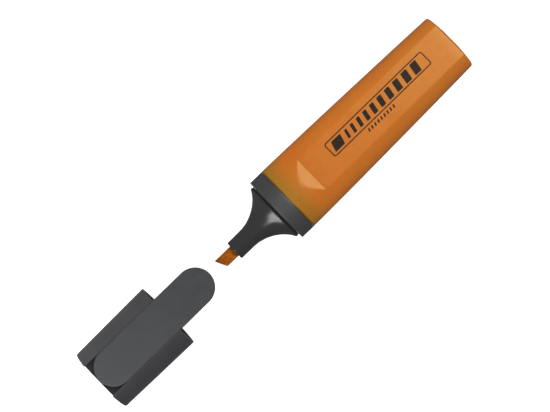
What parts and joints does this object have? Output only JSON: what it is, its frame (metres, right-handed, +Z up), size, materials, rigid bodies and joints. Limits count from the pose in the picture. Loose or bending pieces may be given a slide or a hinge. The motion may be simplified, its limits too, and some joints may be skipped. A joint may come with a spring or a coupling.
{
  "type": "capped highlighter",
  "caption": "Flat oval felt highlighter with a slanted chisel nib, a pull-off cap and a long flexible pocket clip on the cap.",
  "frame": {"origin": "on the table under the middle of the whole layout, with the pen and its cap lying on their flat backs and the cap pulled off", "axes": "+X from the cap along the pen to the closed end of the barrel, +Y across the pen, +Z up out of the label face"},
  "size_m": [0.1737, 0.0268, 0.0158],
  "materials": {
    "orange_plastic": "satin",
    "grey_plastic": "satin",
    "dark_plastic": "satin",
    "orange_felt": "matte",
    "inked_fibre": "matte",
    "clear_film": "gloss",
    "white_plastic": "satin"
  },
  "bodies": {
    "pen": {"barrel": "orange_plastic", "collar": "grey_plastic", "nozzle": "dark_plastic", "nib": "orange_felt", "reservoir_core": "inked_fibre", "reservoir_film": "clear_film", "breather_tube": "white_plastic"},
    "cap": {"cap_shell": "grey_plastic", "cap_liner": "dark_plastic"},
    "clip": {"clip": "grey_plastic"}
  },
  "joints": [
    {"name": "cap_slide", "type": "slide", "parent": "pen", "child": "cap", "axis": [1, 0, 0], "range_m": [0, 0.0531]},
    {"name": "clip_flex", "type": "hinge", "parent": "cap", "child": "clip", "pos_m": [-0.07877, 0, 0.0132], "axis": [0, -1, 0], "range_deg": [0, 2.2], "stiffness_Nm_per_rad": 1.2}
  ]
}
